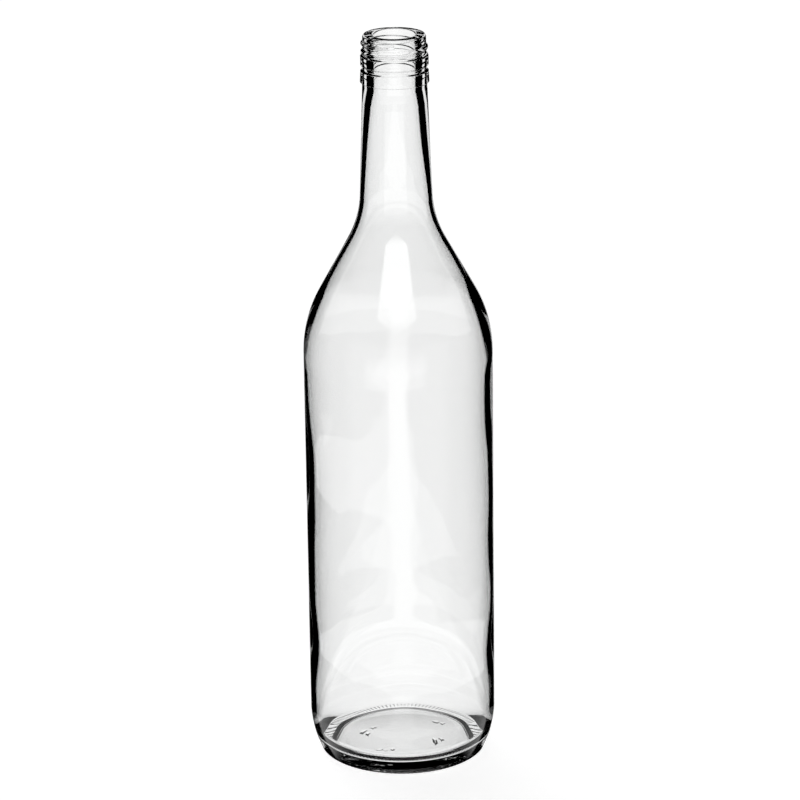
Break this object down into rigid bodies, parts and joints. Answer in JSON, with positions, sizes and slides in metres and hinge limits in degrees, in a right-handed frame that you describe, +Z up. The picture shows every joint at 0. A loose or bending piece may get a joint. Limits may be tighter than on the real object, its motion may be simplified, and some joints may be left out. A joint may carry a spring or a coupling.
{
  "type": "brandy bottle",
  "caption": "Empty clear glass spirits bottle with a round body, long neck, pushed-up bottom and an open screw finish.",
  "frame": {"origin": "middle of the bearing surface on which the bottle stands", "axes": "+Z up along the bottle's axis to its mouth; -Y is the front"},
  "size_m": [0.083, 0.083, 0.3275],
  "materials": {
    "clear_glass": "clear flint glass, smooth and glossy"
  },
  "bodies": {
    "root": {"bottle": "clear_glass"}
  },
  "joints": []
}
